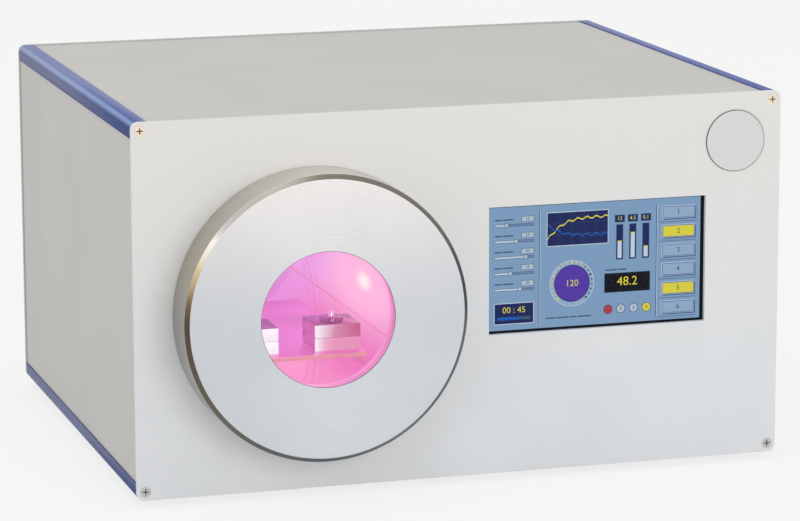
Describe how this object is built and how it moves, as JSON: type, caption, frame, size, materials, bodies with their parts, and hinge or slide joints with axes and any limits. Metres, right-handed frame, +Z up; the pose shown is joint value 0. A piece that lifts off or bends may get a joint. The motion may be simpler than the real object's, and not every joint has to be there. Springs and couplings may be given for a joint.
{
  "type": "plasma cleaner",
  "caption": "Bench plasma cleaner: a white boxed vacuum chamber on blue corner rails, with a round windowed door that pulls out on guide rods with its tray, and a touch screen.",
  "frame": {"origin": "on the ground under the middle of the machine's overall box", "axes": "+Z up, -Y out of the front plate towards the user, +X to the right as the front is seen"},
  "size_m": [0.46, 0.446, 0.262],
  "materials": {
    "case_paint": "fine satin powder coat, warm white",
    "cover_paint": "satin powder coat, light grey",
    "rail_blue": "satin gloss blue paint on extruded aluminium",
    "badge": "plain satin disc",
    "screw_steel": "bright zinc plate",
    "foot_rubber": "matt black",
    "door_metal": "fine turned and brushed",
    "machined": "machined",
    "tray_metal": "brushed stainless",
    "rod_steel": "ground and polished",
    "bush_bronze": "sintered bronze",
    "window": "clear polished",
    "quartz": "clear fused quartz",
    "seal_black": "matt fluoroelastomer",
    "copper": "bare copper sheet",
    "stainless": "turned stainless steel",
    "screen_glass": "glossy touch glass",
    "screen": "lit display",
    "zinc_sheet": "zinc plated sheet",
    "board_green": "green solder mask",
    "unit_grey": "grey paint",
    "black_plastic": "moulded black"
  },
  "bodies": {
    "case": {"front_panel": "case_paint", "badge_blank": "badge", "rear_panel": "cover_paint", "top_panel": "cover_paint", "bottom_panel": "cover_paint", "left_panel": "cover_paint", "right_panel": "cover_paint", "rail_top_left": "rail_blue", "rail_top_right": "rail_blue", "rail_bottom_left": "rail_blue", "rail_bottom_right": "rail_blue", "front_screws": "screw_steel", "rear_screws": "screw_steel", "feet": "foot_rubber", "foot_screws": "screw_steel", "chamber_flange": "machined", "quartz_tube": "quartz", "tube_seals": "seal_black", "rear_flange": "machined", "guide_bushes": "bush_bronze", "front_cradle": "machined", "rear_stand": "machined", "upper_electrode": "copper", "lower_electrode": "copper", "vacuum_valve": "stainless", "pump_port": "stainless", "pressure_gauge": "stainless", "screen_gasket": "seal_black", "touch_glass": "screen_glass", "display_module": "screen", "display_pan": "zinc_sheet", "board_posts": "zinc_sheet", "control_board": "board_green", "rf_generator": "zinc_sheet", "matching_unit": "zinc_sheet", "rf_strap": "copper", "power_supply": "zinc_sheet", "gas_controller_1": "unit_grey", "gas_controller_2": "unit_grey", "gas_controller_3": "unit_grey", "gas_inlets": "stainless", "gas_manifold": "machined", "gas_pipe": "stainless", "power_inlet": "black_plastic", "switch_frame": "black_plastic", "fan_frame": "black_plastic"},
    "door": {"door_ring": "door_metal", "window_glass": "window", "window_retainer": "door_metal", "retainer_screws": "screw_steel", "door_seal": "seal_black", "guide_rods": "rod_steel", "tray_arms": "tray_metal", "sample_tray": "tray_metal", "tray_screws": "screw_steel", "specimen_blocks": "machined"},
    "fuse_drawer": {"fuse_drawer": "black_plastic"},
    "rocker": {"switch_rocker": "black_plastic"},
    "fan": {"fan_rotor": "black_plastic"}
  },
  "joints": [
    {"name": "door_slide", "type": "slide", "parent": "case", "child": "door", "axis": [0, -1, 0], "range_m": [0, 0.22]},
    {"name": "power_switch", "type": "hinge", "parent": "case", "child": "rocker", "pos_m": [-0.18, 0.198, 0.123], "axis": [1, 0, 0], "range_deg": [-16, 0]},
    {"name": "fuse_drawer_slide", "type": "slide", "parent": "case", "child": "fuse_drawer", "axis": [0, 1, 0], "range_m": [0, 0.016]},
    {"name": "fan_spin", "type": "hinge", "parent": "case", "child": "fan", "pos_m": [0.168, 0.189, 0.2], "axis": [0, 1, 0], "continuous": true}
  ]
}
